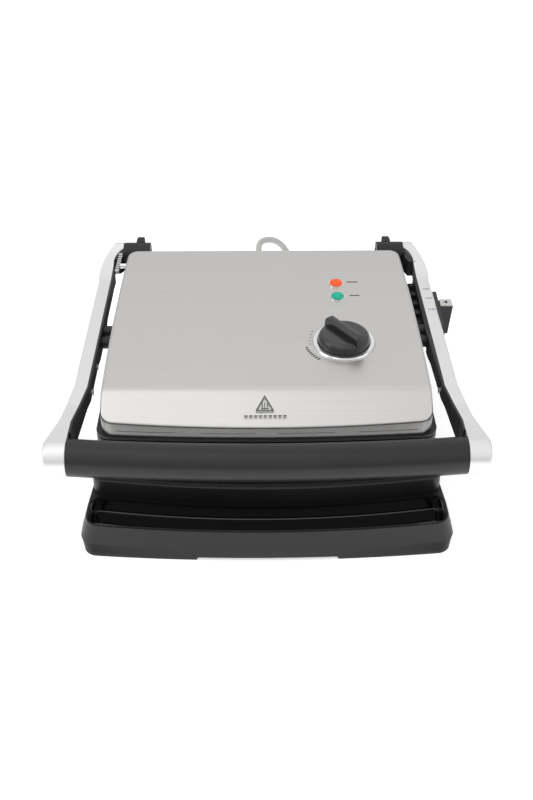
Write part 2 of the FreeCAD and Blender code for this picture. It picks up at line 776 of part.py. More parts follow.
def spring_bracket():
    """Ribbed steel strip that rises from the left-hand arm's inner side, over the black block."""
    front, rear, front_z, rear_z = 132.0, 158.0, 100.0, 106.4
    slope = (rear_z - front_z) / (rear - front)
    side_view = [(front, front_z - 2.5), (rear, rear_z - 2.0), (rear, rear_z), (front, front_z)]
    plan = [(154.8, front - 1), (150.8, front - 1), (148.2, rear + 1), (152.0, rear + 1)]
    strip = prism_x(side_view, 145, 160).common(prism_z(plan, 90, 110))
    grooves = []
    for number in range(STRIP_GROOVES):
        y = front + 3 + STRIP_PITCH * number
        z = front_z + (y - front) * slope
        grooves.append(box(145, 160, y, y + 1.2, z - 0.7, z + 2))
    strip = sided(strip.cut(grooves + [arm_beam()]), -1)
    return strip.cut([arm_liner(-1), hinge_cheek(-1)])


# ---------------------------------------------------------------- lid


def bowed_plan(rear, rear_half, middle_half, corner_half, corner_y, front):
    """Outline with a straight rear, gently bowed sides and a bowed front."""
    return [
        (rear_half, rear),
        (middle_half, PIVOT_Y, corner_half, corner_y),
        (0.0, front, -corner_half, corner_y),
        (-middle_half, PIVOT_Y, -rear_half, rear),
    ]


def lid_plan(inset):
    return bowed_plan(LID_REAR - inset, LID_REAR_HALF - inset, LID_MIDDLE_HALF - inset,
                      LID_FRONT_HALF - inset, LID_CORNER_Y + inset, LID_FRONT + inset)


def rim_plan(inset):
    return bowed_plan(RIM_REAR - inset, RIM_REAR_HALF - inset, RIM_MIDDLE_HALF - inset,
                      RIM_FRONT_HALF - inset, RIM_CORNER_Y + inset, RIM_FRONT + inset)


def lid_block(inset, bottom):
    """The lid's outer form drawn in by the inset: flat top, soft bend, sloping front, round edges."""
    top = LID_TOP - inset
    bend_y = LID_BEND_Y + inset * math.tan(math.atan(SLOPE) / 2)
    reach = 60.0
    block = round_upright(prism_z(lid_plan(inset), bottom, top), LID_CORNER_ROUND - inset)
    wedge = prism_x([(bend_y, top), (bend_y, top + 20), (bend_y - reach, top + 20),
                     (bend_y - reach, top - reach * SLOPE)], -200, 200)
    block = block.cut(wedge)
    bend = [e for e in block.Edges if e.BoundBox.YLength < 0.01 and abs(e.BoundBox.YMin - bend_y) < 0.01]
    block = block.makeFillet(BEND_RADIUS - inset, bend)
    rim = [e for e in block.Edges if e.BoundBox.ZMin > LID_EDGE + 3 and not upright(e) and not across(e)]
    return block.makeFillet(EDGE_RADIUS - inset, rim)


def across(edge):
    """True for an edge that crosses the lid, as the two borders of its bend do."""
    limits = edge.BoundBox
    return limits.YLength < 0.01 and limits.YMax < LID_REAR - 5


def lid_cover():
    shell = lid_block(0.0, LID_EDGE).cut(lid_block(SHEET, LID_EDGE - 5))
    holes = [rod((KNOB_X, KNOB_Y, 100), (KNOB_X, KNOB_Y, 120), 4.5)]
    for y in (RED_Y, GREEN_Y):
        holes.append(rod((LAMP_X, y, 100), (LAMP_X, y, 120), LENS_RADIUS))
    skin = round_upright(prism_z(lid_plan(-1.0), VENT_BOTTOM, VENT_TOP), LID_CORNER_ROUND + 1)
    skin = skin.cut(round_upright(prism_z(lid_plan(VENT_DEPTH), 80, 95), LID_CORNER_ROUND - VENT_DEPTH))
    vents = [skin.common(box(x0, x1, -125, -100, VENT_BOTTOM, VENT_TOP)) for x0, x1 in VENTS]
    pin_hole = rod((-150, PIVOT_Y, PIVOT_Z), (150, PIVOT_Y, PIVOT_Z), PIVOT_RADIUS + 0.6)
    return shell.cut(holes + vents + [lid_rod(), pin_hole])


def lid_rim():
    outer = round_upright(prism_z(rim_plan(0.0), RIM_BOTTOM, LID_EDGE), 13.0)
    inner = round_upright(prism_z(lid_plan(2.0), RIM_BOTTOM - 1, LID_EDGE + 1), 9.0)
    lip = round_upright(prism_z(lid_plan(SHEET + 0.2), LID_EDGE, LID_EDGE + 6), LID_CORNER_ROUND - 1.2)
    lip = lip.cut(round_upright(prism_z(lid_plan(3.2), LID_EDGE - 1, LID_EDGE + 7), 8.0))
    groove = round_upright(prism_z(rim_plan(-1.0), GROOVE_BOTTOM, GROOVE_TOP), 13.5)
    groove = groove.cut(round_upright(prism_z(rim_plan(1.2), 77, 84), 12.0))
    ledge = round_upright(prism_z(lid_plan(1.0), LEDGE_TOP - 2, LEDGE_TOP), 9.0)
    ledge = ledge.cut(box(-PLATE_HALF + 4, PLATE_HALF - 4, UPPER_PLATE_FRONT + 4, PLATE_REAR - 4, 60, 70))
    pad = box(130, 143.6, PIVOT_Y - 8, PIVOT_Y + 8, PIVOT_Z - 8, LID_EDGE + 12)
    bore = rod((133, PIVOT_Y, PIVOT_Z), (160, PIVOT_Y, PIVOT_Z), PIVOT_RADIUS + RUNNING_GAP)
    rim = joined([outer.cut(inner).cut(groove), lip, ledge, pad, mirrored(pad)])
    return rim.cut([bore, mirrored(bore)])


def lid_screws():
    screws = []
    for x, y in LID_SCREW_PLACES:
        head = rod((x, y, LEDGE_TOP), (x, y, LEDGE_TOP + 2.4), 3.5)
        shank = rod((x, y, RIM_BOTTOM + 0.5), (x, y, LEDGE_TOP), 1.6)
        screws.append(joined([head, shank]))
    return group(screws)


def thermostat_body():
    top = LID_TOP - SHEET
    case = rod((KNOB_X, KNOB_Y, THERMOSTAT_BOTTOM), (KNOB_X, KNOB_Y, top - 4.5), THERMOSTAT_RADIUS)
    bracket = box(KNOB_X - 24, KNOB_X + 24, KNOB_Y - 8, KNOB_Y + 8, top - 4.5, top)
    bore = rod((KNOB_X, KNOB_Y, 96), (KNOB_X, KNOB_Y, 120), PIVOT_RADIUS + RUNNING_GAP)
    return joined([case, bracket]).cut(bore)


def thermostat_shaft():
    return rod((KNOB_X, KNOB_Y, 97), (KNOB_X, KNOB_Y, 122), PIVOT_RADIUS)


def knob_bezel():
    ring = rod((KNOB_X, KNOB_Y, LID_TOP), (KNOB_X, KNOB_Y, LID_TOP + 2.0), BEZEL_RADIUS)
    ring = ring.makeChamfer(0.9, [e for e in ring.Edges if e.BoundBox.ZMin > LID_TOP + 1.9])
    return ring.cut(rod((KNOB_X, KNOB_Y, LID_TOP - 1), (KNOB_X, KNOB_Y, LID_TOP + 5), KNOB_RADIUS + 0.6))


def control_knob():
    """Domed disc with a full-width fin, its ends flush with the disc's tapering side."""
    base = LID_TOP + 0.6
    shoulder = base + KNOB_SHOULDER
    foot = (KNOB_X, KNOB_Y, base)
    disc = cone(foot, (KNOB_X, KNOB_Y, shoulder), KNOB_RADIUS, KNOB_EDGE_RADIUS)
    disc = disc.makeFillet(6.0, [e for e in disc.Edges if e.BoundBox.ZMin > shoulder - 0.1])
    taper = (KNOB_RADIUS - KNOB_EDGE_RADIUS) / KNOB_SHOULDER
    keep = cone(foot, (KNOB_X, KNOB_Y, KNOB_TOP), KNOB_RADIUS, KNOB_RADIUS - taper * (KNOB_TOP - base))
    fin = box(-KNOB_RADIUS, KNOB_RADIUS, -FIN_WIDTH / 2, FIN_WIDTH / 2, base + 2, KNOB_TOP)
    fin.rotate(V(0, 0, 0), V(0, 0, 1), FIN_ANGLE)
    fin.translate(V(KNOB_X, KNOB_Y, 0))
    fin = fin.common(keep)
    fin = fin.makeFillet(3.6, [e for e in fin.Edges if e.BoundBox.ZMin > KNOB_TOP - 0.1])
    return joined([disc, fin]).cut(thermostat_shaft())


def lens(y):
    """Clear button with a domed top, standing in the cover's hole."""
    radius = LENS_RADIUS - 0.1
    rise = 2.8
    edge_z = LID_TOP + LENS_HEIGHT - rise
    sphere_radius = (radius ** 2 + rise ** 2) / (2 * rise)
    barrel = rod((LAMP_X, y, LID_TOP - SHEET), (LAMP_X, y, edge_z), radius)
    dome = Part.makeSphere(sphere_radius, V(LAMP_X, y, LID_TOP + LENS_HEIGHT - sphere_radius))
    cap = dome.common(rod((LAMP_X, y, edge_z), (LAMP_X, y, edge_z + 9), LENS_RADIUS + 1))
    return joined([barrel, cap])


def lens_bezel(y):
    ring = rod((LAMP_X, y, LID_TOP), (LAMP_X, y, LID_TOP + 1.2), LENS_BEZEL_RADIUS)
    return ring.cut(rod((LAMP_X, y, LID_TOP - 1), (LAMP_X, y, LID_TOP + 5), LENS_RADIUS))


def lamp_holder(y):
    return rod((LAMP_X, y, 92), (LAMP_X, y, LID_TOP - SHEET), 4.6)


def lid_rod():
    """Short chrome rod that stands out of the lid's left side near the rear."""
    return rod((-149.5, LID_ROD_Y, LID_ROD_Z), (-126, LID_ROD_Y, LID_ROD_Z), LID_ROD_RADIUS)


# ---------------------------------------------------------------- mains lead


def cord_tie():
    """Flat band around the coil's section."""
    half = TIE_WIDTH / 2
    inner = COIL_INNER - TIE_THICK
    outer = COIL_OUTER + TIE_THICK
    band = box(inner, outer, -half, half, 0, COIL_HEIGHT + TIE_THICK)
    band = band.cut(box(COIL_INNER, COIL_OUTER, -half, half, TIE_THICK, COIL_HEIGHT))
    band.translate(V(COIL_X, COIL_Y, 0))
    return band


def cord_coil():
    centre = (COIL_X, COIL_Y)
    ring = rod((*centre, 0), (*centre, COIL_HEIGHT), COIL_OUTER)
    return ring.cut([rod((*centre, -1), (*centre, COIL_HEIGHT + 1), COIL_INNER), cord_tie()])


def power_cord():
    return tube(CORD_ROUTE, CORD_RADIUS).cut([cord_coil(), strain_relief()])


def cord_tail():
    return tube(TAIL_ROUTE, CORD_RADIUS).cut([cord_coil(), plug_body()])


def plug_placed(shape):
    shape.rotate(V(0, 0, 0), V(0, 0, 1), PLUG_ANGLE)
    shape.translate(V(*TAIL_ROUTE[-1]))
    return shape


def plug_body():
    """Round moulded plug, lying on the flat of its grip."""
    neck = cone((0, 0, 0), (16, 0, 0), 5.5, 8.0)
    grip = cone((16, 0, 0), (24, 0, 0), 8.0, PLUG_RADIUS)
    head = rod((24, 0, 0), (40, 0, 0), PLUG_RADIUS)
    body = joined([neck, grip, head]).common(box(-10, 60, -30, 30, -PLUG_AXIS_Z, PLUG_AXIS_Z))
    return plug_placed(body)


def plug_pins():
    pins = [rod((40, y, 0), (59, y, 0), 2.4) for y in (-9.5, 9.5)]
    return plug_placed(group(pins))


# ---------------------------------------------------------------- all the parts


def both_sides(make):
    return group([make(-1), make(1)])


PARTS = {
    "base_pan": base_pan,
    "base_housing": base_housing,
    "pan_screw_posts": screw_posts,
    "base_screws": base_screws,
    "front_feet": front_feet,
    "rear_feet": rear_feet,
    "hinge_tower_left": lambda: hinge_tower(-1),
    "hinge_tower_right": lambda: hinge_tower(1),
    "hinge_pins": lambda: both_sides(hinge_pin),
    "standing_feet": lambda: both_sides(standing_foot),
    "lower_grill_plate": lower_grill_plate,
    "lower_heating_element": lower_heating_element,
    "lower_heat_shield": lower_heat_shield,
    "terminal_block": terminal_block,
    "terminal_screws": terminal_screws,
    "thermal_fuse": thermal_fuse,
    "strain_relief": strain_relief,
    "drip_tray": drip_tray,
    "arm_left": lambda: arm(-1),
    "arm_right": lambda: arm(1),
    "arm_liner_left": lambda: arm_liner(-1),
    "arm_liner_right": lambda: arm_liner(1),
    "hinge_cheeks": lambda: both_sides(hinge_cheek),
    "liner_screws": all_liner_screws,
    "handle_core": handle_core,
    "handle_grip": handle_grip,
    "pivot_bosses": lambda: both_sides(pivot_boss),
    "pivot_pins": lambda: both_sides(pivot_pin),
    "tilt_stops": lambda: both_sides(tilt_stop),
    "height_rack": height_rack,
    "clip_guide": clip_guide,
    "spring_bracket": spring_bracket,
    "height_clip": height_clip,
    "clip_cap": clip_cap,
    "lid_cover": lid_cover,
    "lid_rim": lid_rim,
    "lid_screws": lid_screws,
    "upper_grill_plate": upper_grill_plate,
    "upper_heating_element": upper_heating_element,
    "upper_heat_shield": upper_heat_shield,
    "thermostat_body": thermostat_body,
    "thermostat_shaft": thermostat_shaft,
    "knob_bezel": knob_bezel,
    "control_knob": control_knob,
    "red_lens": lambda: lens(RED_Y),
    "green_lens": lambda: lens(GREEN_Y),
    "lens_bezels": lambda: group([lens_bezel(RED_Y), lens_bezel(GREEN_Y)]),
    "lamp_holders": lambda: group([lamp_holder(RED_Y), lamp_holder(GREEN_Y)]),
    "lid_rod": lid_rod,
    "power_cord": power_cord,
    "cord_coil": cord_coil,
    "cord_tie": cord_tie,
    "cord_tail": cord_tail,
    "plug_body": plug_body,
    "plug_pins": plug_pins,
}


def print_cord():
    """Prints the bend radii, and each tube's volume over its section times its length."""
    for name, route in (("power_cord", CORD_ROUTE), ("cord_tail", TAIL_ROUTE)):
        radii = [bend_radius(*route[n - 1:n + 2]) for n in range(1, len(route) - 1)]
        print(name, "radii", [round(radius, 1) for radius in radii])
        length = sum((V(*b) - V(*a)).Length for a, b in zip(route, route[1:]))
        filled = tube(route, CORD_RADIUS).Volume / (math.pi * CORD_RADIUS ** 2)
        print(name, "runs", round(length, 1), "tube length by volume", round(filled, 1))


def main():
    os.makedirs("parts", exist_ok=True)
    for name, make in PARTS.items():
        shape = make()
        shape.exportStep(f"parts/{name}.step")
        limits = shape.optimalBoundingBox(False, False)
        print(f"{name:24s} solids {len(shape.Solids)} valid {shape.isValid()} volume {shape.Volume:10.0f}"
              f"  x {limits.XMin:7.1f} {limits.XMax:7.1f}  y {limits.YMin:7.1f} {limits.YMax:7.1f}"
              f"  z {limits.ZMin:6.1f} {limits.ZMax:6.1f}")
    print_cord()


main()
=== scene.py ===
"""Looks, light and camera for the contact grill. Metres, in the CAD model's own frame."""

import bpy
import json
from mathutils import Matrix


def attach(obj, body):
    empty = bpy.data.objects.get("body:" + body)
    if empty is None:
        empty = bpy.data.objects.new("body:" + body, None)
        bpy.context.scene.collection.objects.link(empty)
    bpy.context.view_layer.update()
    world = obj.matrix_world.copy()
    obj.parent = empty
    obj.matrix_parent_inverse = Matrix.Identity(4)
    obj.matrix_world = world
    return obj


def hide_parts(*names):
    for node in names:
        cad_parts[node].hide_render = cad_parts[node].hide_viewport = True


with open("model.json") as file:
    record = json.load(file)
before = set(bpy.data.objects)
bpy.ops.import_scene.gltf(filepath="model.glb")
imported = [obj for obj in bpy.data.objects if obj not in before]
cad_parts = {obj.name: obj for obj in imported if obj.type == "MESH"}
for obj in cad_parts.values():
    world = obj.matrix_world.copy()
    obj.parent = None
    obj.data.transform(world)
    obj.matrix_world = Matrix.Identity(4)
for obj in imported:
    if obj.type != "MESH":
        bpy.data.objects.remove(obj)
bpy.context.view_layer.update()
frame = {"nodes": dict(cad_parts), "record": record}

import json
import math

import bmesh
import bpy
from mathutils import Matrix, Vector

NODES = frame["nodes"]

# Camera
CAMERA_AT = (-0.0113, -0.8347, 0.6848)
CAMERA_PITCH = 38.0
CAMERA_YAW = 0.857
CAMERA_ROLL = 0.2
LENS = 48.6

# Mains lead
CORD_DIAMETER = 0.0075
CORD_ROUTE = [
    (0.0, 0.197, 0.014), (0.0006, 0.221, 0.0124), (-0.0006, 0.246, 0.0046), (-0.003, 0.289, 0.0039),
    (-0.0046, 0.332, 0.0039), (-0.0036, 0.358, 0.0039), (0.0052, 0.3665, 0.0039),
    (0.017, 0.3654, 0.0039), (0.028, 0.347, 0.0039), (0.035, 0.316, 0.0039), (0.039, 0.287, 0.0039),
]
COIL_CENTRE = (0.085, 0.260)
COIL_RADII = (0.0450, 0.0375)
COIL_LAYERS = (0.0039, 0.0113)
COIL_START = 180.0
COIL_SWEEP = 795.0
COIL_STEP = 15.0
COIL_CLIMB = (330.0, 400.0)
COIL_OUTWARD = 380.0
TAIL_ROUTE = [(0.096, 0.2136, 0.0114), (0.109, 0.2114, 0.0129), (0.122, 0.2086, 0.014)]

# Light: how bright the surroundings are at the sine of the height above the horizon
SKY_LEVELS = [(0.001, 0.36), (0.30, 0.52), (0.62, 0.84), (0.80, 0.82), (0.999, 0.76)]
SKY_STRENGTH = 1.12

# Area lights: name, place, aim, two sides in metres, watts
LIGHTS = [
    ("overhead", (-0.55, -0.25, 1.9), (0.0, 0.0, 0.0), (1.7, 1.3), 3.4),
    ("left_box", (-1.6, -0.3, 1.0), (0.0, 0.0, 0.1), (1.0, 1.2), 3.5),
    ("right_box", (1.6, -0.5, 1.0), (0.0, 0.0, 0.1), (1.0, 1.2), 1.2),
]

# Floor
FLOOR_SIZE = 8.0
FLOOR_MIDDLE = (0.0, 1.0, -0.0002)
FLOOR_GLOW = 0.50

# Faces that carry printed marks
LID_TOP = 0.1115
LID_SLOPE = 17.4 / 31.1
LID_SLOPE_START_Y = -0.0852 - 0.0045
ARM_TOP = 0.100
CLIP_TOP = 0.0984
PRINT_THICK = 0.00012

# Marks beside the lamps and on the right arm, as x, y and length; ticks by the dial, as x and y
LAMP_BAR_WIDTH = 0.0016
LAMP_BARS = [(0.0826, 0.0904, 0.0105), (0.0840, 0.0654, 0.0090)]
TICK_LENGTH = 0.0015
TICK_WIDTH = 0.0007
DIAL_TICKS = [(0.0432, 0.003), (0.0421, -0.0019), (0.0412, -0.0068), (0.0402, -0.0125), (0.0405, -0.0174)]
DIAL_CENTRE = (0.0723, -0.0150)
ARM_BARS = [(0.1607, 0.0952, 0.0068), (0.1611, 0.0780, 0.0072), (0.1612, 0.0575, 0.0078)]
ARM_BAR_HEIGHT = 0.0030
ARM_BAR_STROKES = 5

# Row of strokes that curves round the dial's lower left
DIAL_ROW_COUNT = 8
DIAL_ROW_START = 193.0
DIAL_ROW_STEP = 4.8
DIAL_ROW_RADII = (0.0346, 0.0364)
DIAL_ROW_GROWTH = (-0.0001, 0.00008)
DIAL_ROW_WIDTH = 0.0017

# Plain triangle with strokes in it, and the row of dashes below it
TRIANGLE = [(-0.0018, -0.0930), (-0.0092, -0.1048), (0.0056, -0.1048)]
TRIANGLE_STROKES_X = (-0.0040, -0.0018, 0.0004)
TRIANGLE_STROKES_Y = (-0.0985, -0.1020)
TRIANGLE_BASE_Y = -0.1033
TRIANGLE_BASE_X = (-0.0052, 0.0016)
TRIANGLE_WIDTH = 0.0009
TRIANGLE_STROKE_WIDTH = 0.0008
DASH_ROW_COUNT = 9
DASH_ROW_START = (-0.0195, -0.1093)
DASH_ROW_PITCH = 0.0042
DASH_LENGTH = 0.0026
DASH_WIDTH = 0.0011

# Arrowhead on the clip's cap: its tip, and the middle and half width of its back
ARROW_TIP_X = 0.1783
ARROW_BACK_X = 0.1823
ARROW_Y = 0.073
ARROW_HALF_WIDTH = 0.0026

# ---------------------------------------------------------------- camera and lead


def make_camera():
    data = bpy.data.cameras.new("camera")
    data.lens = LENS
    data.sensor_width = 36.0
    data.clip_start = 0.05
    data.clip_end = 20.0
    camera = bpy.data.objects.new("camera", data)
    camera.location = CAMERA_AT
    turn = Matrix.Rotation(math.radians(-CAMERA_YAW), 4, "Z")
    tip = Matrix.Rotation(math.radians(90.0 - CAMERA_PITCH), 4, "X")
    roll = Matrix.Rotation(math.radians(CAMERA_ROLL), 4, "Z")
    camera.rotation_euler = (turn @ tip @ roll).to_euler()
    bpy.context.scene.collection.objects.link(camera)
    bpy.context.scene.camera = camera


def coil_points():
    """Two turns and a quarter: inwards on the lower layer, then outwards on top of it."""
    points = []
    count = int(COIL_SWEEP / COIL_STEP)
    for number in range(1, count + 1):
        turned = number * COIL_STEP
        angle = math.radians(COIL_START + turned)
        inward = min(turned / 360.0, 1.0)
        outward = max(0.0, (turned - COIL_OUTWARD) / (COIL_SWEEP - COIL_OUTWARD))
        climb = min(max((turned - COIL_CLIMB[0]) / (COIL_CLIMB[1] - COIL_CLIMB[0]), 0.0), 1.0)
        radius = COIL_RADII[0] + (COIL_RADII[1] - COIL_RADII[0]) * (inward - outward)
        height = COIL_LAYERS[0] + (COIL_LAYERS[1] - COIL_LAYERS[0]) * climb
        x = COIL_CENTRE[0] + radius * math.cos(angle)
        y = COIL_CENTRE[1] + radius * math.sin(angle)
        points.append((x, y, height))
    return points


def route_mesh(route, radius):
    """The smooth line through a route, or a tube around that line if the radius isn't zero."""
    data = bpy.data.curves.new("route", "CURVE")
    data.dimensions = "3D"
    data.bevel_depth = radius
    data.bevel_resolution = 8
    data.resolution_u = 8
    data.use_fill_caps = radius > 0.0
    spline = data.splines.new("NURBS")
    spline.points.add(len(route) - 1)
    for point, place in zip(spline.points, route):
        point.co = (*place, 1.0)
    spline.order_u = 3
    spline.use_endpoint_u = True
    curve = bpy.data.objects.new("route", data)
    bpy.context.scene.collection.objects.link(curve)
    bpy.context.view_layer.update()
    mesh = bpy.data.meshes.new_from_object(curve.evaluated_get(bpy.context.evaluated_depsgraph_get()))
    bpy.data.objects.remove(curve)
    return mesh


def make_cord():
    route = CORD_ROUTE + coil_points() + TAIL_ROUTE
    path = [tuple(vertex.co) for vertex in route_mesh(route, 0.0).vertices]
    mesh = route_mesh(route, CORD_DIAMETER / 2)
    mesh.shade_smooth()
    lead = bpy.data.objects.new("mains_lead", mesh)
    bpy.context.scene.collection.objects.link(lead)
    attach(lead, "base")
    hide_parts("power_cord", "cord_coil", "cord_tail")
    return lead


# ---------------------------------------------------------------- materials


class Shader:
    """A new material with a Principled shader, and short ways to add nodes to it."""

    def __init__(self, name, colour, roughness, metallic=0.0):
        self.material = bpy.data.materials.new(name)
        self.material.use_nodes = True
        self.tree = self.material.node_tree
        self.surface = self.tree.nodes["Principled BSDF"]
        self.surface.inputs["Base Color"].default_value = (*colour, 1.0)
        self.surface.inputs["Roughness"].default_value = roughness
        self.surface.inputs["Metallic"].default_value = metallic

    def node(self, kind, **settings):
        made = self.tree.nodes.new(kind)
        for name, value in settings.items():
            setattr(made, name, value)
        return made

    def link(self, source, target):
        self.tree.links.new(source, target)

    def place(self, scale):
        """Object coordinates in metres, multiplied by three numbers."""
        coordinates = self.node("ShaderNodeTexCoord")
        mapping = self.node("ShaderNodeMapping")
        mapping.inputs["Scale"].default_value = scale
        self.link(coordinates.outputs["Object"], mapping.inputs["Vector"])
        return mapping.outputs["Vector"]

    def noise(self, scale, detail=2.0, roughness=0.5):
        """Noise whose grain is one over the scale, in metres, along each axis."""
        texture = self.node("ShaderNodeTexNoise")
        texture.inputs["Scale"].default_value = 1.0
        texture.inputs["Detail"].default_value = detail
        texture.inputs["Roughness"].default_value = roughness
        self.link(self.place(scale), texture.inputs["Vector"])
        return texture.outputs["Fac"]

    def spread(self, source, low, high, target_low, target_high):
        ranged = self.node("ShaderNodeMapRange")
        ranged.inputs["From Min"].default_value = low
        ranged.inputs["From Max"].default_value = high
        ranged.inputs["To Min"].default_value = target_low
        ranged.inputs["To Max"].default_value = target_high
        self.link(source, ranged.inputs["Value"])
        return ranged.outputs["Result"]

    def tint(self, source, dark, light):
        """Colours from dark to light as the source goes from 0.3 to 0.7."""
        ramp = self.node("ShaderNodeValToRGB")
        ramp.color_ramp.elements[0].position = 0.3
        ramp.color_ramp.elements[0].color = (*dark, 1.0)
        ramp.color_ramp.elements[1].position = 0.7
        ramp.color_ramp.elements[1].color = (*light, 1.0)
        self.link(source, ramp.inputs["Fac"])
        self.link(ramp.outputs["Color"], self.surface.inputs["Base Color"])

    def rough(self, source, smooth, coarse):
        self.link(self.spread(source, 0.3, 0.7, smooth, coarse), self.surface.inputs["Roughness"])

    def bump(self, source, depth, strength):
        bump = self.node("ShaderNodeBump")
        bump.inputs["Strength"].default_value = strength
        bump.inputs["Distance"].default_value = depth
        self.link(source, bump.inputs["Height"])
        self.link(bump.outputs["Normal"], self.surface.inputs["Normal"])


def brushed(name, colour, along_x, roughness=0.34):
    """Brushed metal whose fine scratches run from side to side or from front to back."""
    shader = Shader(name, colour, roughness, 1.0)
    long, fine = 6.0, 2600.0
    scale = (long, fine, fine) if along_x else (fine, long, fine)
    streaks = shader.noise(scale, 3.0, 0.6)
    cloud = shader.noise((9.0, 9.0, 9.0), 2.0)
    shader.tint(streaks, tuple(c * 0.93 for c in colour), tuple(min(1.0, c * 1.05) for c in colour))
    mixed = shader.node("ShaderNodeMath", operation="MULTIPLY_ADD")
    mixed.inputs[1].default_value = 0.5
    shader.link(streaks, mixed.inputs[0])
    shader.link(shader.spread(cloud, 0.0, 1.0, 0.0, 0.5), mixed.inputs[2])
    shader.rough(mixed.outputs["Value"], roughness - 0.05, roughness + 0.07)
    shader.bump(streaks, 0.000006, 0.3)
    return shader


def shade_uprights(shader, low):
    """Darkens the faces that stand upright, as though the dark handle were mirrored in them."""
    coordinates = shader.node("ShaderNodeTexCoord")
    split = shader.node("ShaderNodeSeparateXYZ")
    shader.link(coordinates.outputs["Normal"], split.inputs["Vector"])
    level = shader.spread(split.outputs["Z"], 0.15, 0.75, low, 1.0)
    dim = shader.node("ShaderNodeMix", data_type="RGBA", blend_type="MULTIPLY")
    base = shader.surface.inputs["Base Color"]
    colour = base.links[0].from_socket
    factor, first, second = dim.inputs[0], dim.inputs[6], dim.inputs[7]
    factor.default_value = 1.0
    shader.link(colour, first)
    shader.link(level, second)
    shader.link(dim.outputs[2], base)
    return shader


def moulded(name, colour, roughness, grain=0.00004, grain_scale=1600.0):
    """Moulded plastic with a fine spark-eroded grain and slow changes of gloss."""
    shader = Shader(name, colour, roughness)
    shader.surface.inputs["Specular IOR Level"].default_value = 0.45
    fine = shader.noise((grain_scale,) * 3, 3.0, 0.65)
    slow = shader.noise((14.0,) * 3, 2.0)
    shader.tint(slow, tuple(c * 0.9 for c in colour), tuple(c * 1.12 for c in colour))
    shader.rough(slow, roughness - 0.05, roughness + 0.06)
    shader.bump(fine, grain, 0.6)
    return shader.material


def glossy(name, colour, roughness):
    """Polished plastic: a clear coat over faint waviness."""
    shader = Shader(name, colour, roughness)
    shader.surface.inputs["Coat Weight"].default_value = 0.6
    shader.surface.inputs["Coat Roughness"].default_value = 0.04
    waves = shader.noise((60.0,) * 3, 1.0)
    shader.tint(waves, tuple(c * 0.8 for c in colour), tuple(c * 1.2 for c in colour))
    shader.rough(waves, roughness, roughness + 0.06)
    shader.bump(waves, 0.0001, 0.25)
    return shader.material


def cast(name, colour, roughness):
    """Satin-painted cast metal with a fine sparkle."""
    shader = Shader(name, colour, roughness, 0.75)
    sparkle = shader.noise((2200.0,) * 3, 2.0)
    slow = shader.noise((18.0,) * 3, 2.0)
    shader.tint(sparkle, tuple(c * 0.94 for c in colour), tuple(min(1.0, c * 1.04) for c in colour))
    shader.rough(slow, roughness - 0.04, roughness + 0.06)
    shader.bump(sparkle, 0.00003, 0.4)
    return shader.material


def polished(name, colour, roughness):
    shader = Shader(name, colour, roughness, 1.0)
    wear = shader.noise((300.0,) * 3, 3.0)
    shader.tint(wear, tuple(c * 0.92 for c in colour), colour)
    shader.rough(wear, roughness, roughness + 0.1)
    return shader.material


def lens_glass(name, colour, glow):
    """Coloured clear lens over a lit neon."""
    shader = Shader(name, colour, 0.08)
    shader.surface.inputs["Transmission Weight"].default_value = 0.35
    shader.surface.inputs["Coat Weight"].default_value = 0.25
    shader.surface.inputs["Specular IOR Level"].default_value = 0.25
    shader.surface.inputs["Emission Color"].default_value = (*colour, 1.0)
    shader.surface.inputs["Emission Strength"].default_value = glow
    facets = shader.noise((500.0,) * 3, 1.0)
    shader.tint(facets, tuple(c * 0.7 for c in colour), tuple(min(1.0, c * 1.3) for c in colour))
    shader.bump(facets, 0.0003, 0.5)
    return shader.material


def make_materials():
    return {
        "housing": moulded("satin_black", (0.010, 0.010, 0.011), 0.38),
        "foot_rubber": moulded("black_rubber", (0.03, 0.03, 0.03), 0.75, 0.00006, 900.0),
        "hardware": polished("zinc_steel", (0.62, 0.62, 0.62), 0.25),
        "plate_coating": moulded("non_stick", (0.02, 0.02, 0.022), 0.38, 0.00005, 700.0),
        "element_steel": brushed("element_steel", (0.30, 0.28, 0.26), True, 0.45).material,
        "shield_steel": brushed("shield_steel", (0.62, 0.62, 0.60), True, 0.35).material,
        "terminal_plastic": moulded("cream_plastic", (0.70, 0.67, 0.58), 0.5),
        "terminal_brass": polished("brass", (0.78, 0.57, 0.24), 0.25),
        "cord_relief": moulded("grey_sleeve", (0.40, 0.40, 0.39), 0.55),
        "tray": glossy("gloss_black", (0.0015, 0.0015, 0.0018), 0.10),
        "arm_metal": cast("satin_silver", (0.84, 0.84, 0.84), 0.34),
        "liner": moulded("dark_grey_plastic", (0.024, 0.024, 0.025), 0.45),
        "grip": moulded("soft_black", (0.014, 0.014, 0.015), 0.33, 0.00002, 2200.0),
        "clip": moulded("clip_black", (0.02, 0.021, 0.024), 0.45),
        "clip_cap": moulded("light_grey_plastic", (0.60, 0.60, 0.58), 0.45),
        "lid_steel": shade_uprights(brushed("lid_brushed_steel", (0.66, 0.65, 0.64), True), 0.55).material,
        "bezel_chrome": polished("chrome", (0.86, 0.86, 0.86), 0.08),
        "knob": glossy("knob_black", (0.008, 0.008, 0.009), 0.30),
        "lens_red": lens_glass("lens_red", (0.92, 0.11, 0.012), 0.32),
        "lens_green": lens_glass("lens_green", (0.0, 0.42, 0.27), 0.30),
        "cord": moulded("grey_sheath", (0.50, 0.50, 0.49), 0.5),
        "tie": moulded("black_strap", (0.02, 0.02, 0.02), 0.6),
        "plug": moulded("grey_plug", (0.42, 0.42, 0.41), 0.5),
        "pin_metal": polished("plated_pins", (0.80, 0.78, 0.72), 0.2),
    }


def paint(piece, material):
    piece.data.materials.clear()
    piece.data.materials.append(material)


def paint_nodes(materials):
    for part in frame["record"]["subparts"]:
        paint(NODES[part["node"]], materials[part["material_slot"]])


